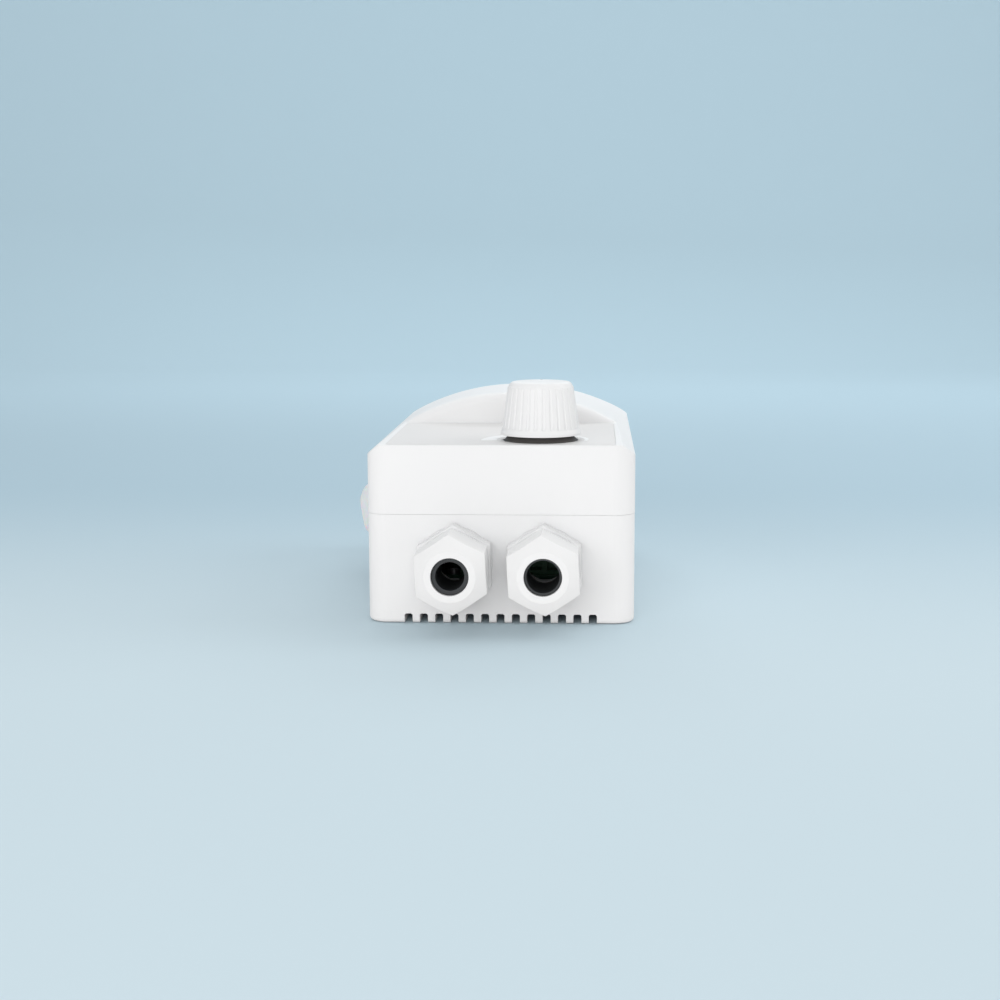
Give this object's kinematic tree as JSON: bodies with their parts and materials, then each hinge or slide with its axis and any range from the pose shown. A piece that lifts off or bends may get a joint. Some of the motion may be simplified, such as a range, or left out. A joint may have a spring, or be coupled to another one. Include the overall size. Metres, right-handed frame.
{
  "type": "fan speed controller",
  "caption": "Surface-mount fan speed controller: plastic case with arched cover, fluted speed knob, booted side switch and cable glands.",
  "frame": {"origin": "centre of the four wall holes, on the back face that lies against the wall", "axes": "+Z away from the wall through the front cover, +Y away from the cable glands along the case, +X to the right when seen from the front with the glands down"},
  "size_m": [0.1328, 0.237, 0.103],
  "materials": {
    "case": "satin",
    "knob": "satin",
    "label": "satin",
    "gland": "satin",
    "gland_rubber": "matte",
    "gasket": "matte",
    "knob_rubber": "matte",
    "silicone": "satin",
    "steel": "satin",
    "brass": "satin",
    "black_plastic": "satin",
    "rocker": "gloss",
    "board": "satin",
    "terminal": "satin",
    "glass": "clear",
    "aluminium": "satin",
    "ferrite": "matte",
    "copper_wire": "gloss",
    "capacitor": "gloss",
    "resistor": "gloss",
    "trimmer": "satin",
    "lead": "satin"
  },
  "bodies": {
    "case": {"rear_housing": "case", "front_cover": "case", "dial_label": "label", "cover_gasket": "gasket", "cover_screws": "steel", "cover_caps": "case", "left_gland_body": "gland", "left_gland_washer": "gasket", "left_gland_locknut": "gland", "left_gland_seal": "gland_rubber", "right_gland_body": "gland", "right_gland_washer": "gasket", "right_gland_locknut": "gland", "right_gland_seal": "gland_rubber", "knob_seal": "knob_rubber", "potentiometer_body": "black_plastic", "potentiometer_washer": "steel", "potentiometer_nut": "brass", "side_switch_body": "black_plastic", "side_switch_boot": "silicone", "side_switch_terminals": "brass", "circuit_board": "board", "board_screws": "steel", "terminal_block": "terminal", "terminal_screws": "steel", "fuse_link": "glass", "fuse_holder": "brass", "choke_winding": "copper_wire", "choke_core": "ferrite", "filter_capacitor": "capacitor", "timing_capacitors": "capacitor", "resistors": "resistor", "trimmer_body": "trimmer", "heat_sink": "aluminium", "heat_sink_fins": "aluminium", "heat_sink_screws": "steel", "triac": "black_plastic", "triac_screw": "steel", "potentiometer_leads": "lead", "switch_leads": "lead"},
    "knob": {"speed_knob": "knob", "knob_grub_screw": "steel", "potentiometer_shaft": "steel"},
    "rocker": {"side_switch_rocker": "rocker"},
    "left_nut": {"left_gland_nut": "gland"},
    "right_nut": {"right_gland_nut": "gland"},
    "trimmer": {"trimmer_dial": "knob"}
  },
  "joints": [
    {"name": "knob_turn", "type": "hinge", "parent": "case", "child": "knob", "pos_m": [0.0167, -0.0813, 0.077], "axis": [0, 0, 1], "range_deg": [-135, 135]},
    {"name": "rocker_tilt", "type": "hinge", "parent": "case", "child": "rocker", "pos_m": [-0.0579, 0.0125, 0.0332], "axis": [0, 1, 0], "range_deg": [0, 14], "deforming": ["side_switch_boot"]},
    {"name": "left_nut_turn", "type": "hinge", "parent": "case", "child": "left_nut", "pos_m": [-0.0192, -0.1215, 0.0261], "axis": [0, -1, 0], "range_deg": [0, 330]},
    {"name": "right_nut_turn", "type": "hinge", "parent": "case", "child": "right_nut", "pos_m": [0.0191, -0.1215, 0.0261], "axis": [0, -1, 0], "range_deg": [0, 330]},
    {"name": "trimmer_turn", "type": "hinge", "parent": "case", "child": "trimmer", "pos_m": [0.042, -0.038, 0.0186], "axis": [0, 0, 1], "range_deg": [-135, 135]}
  ]
}
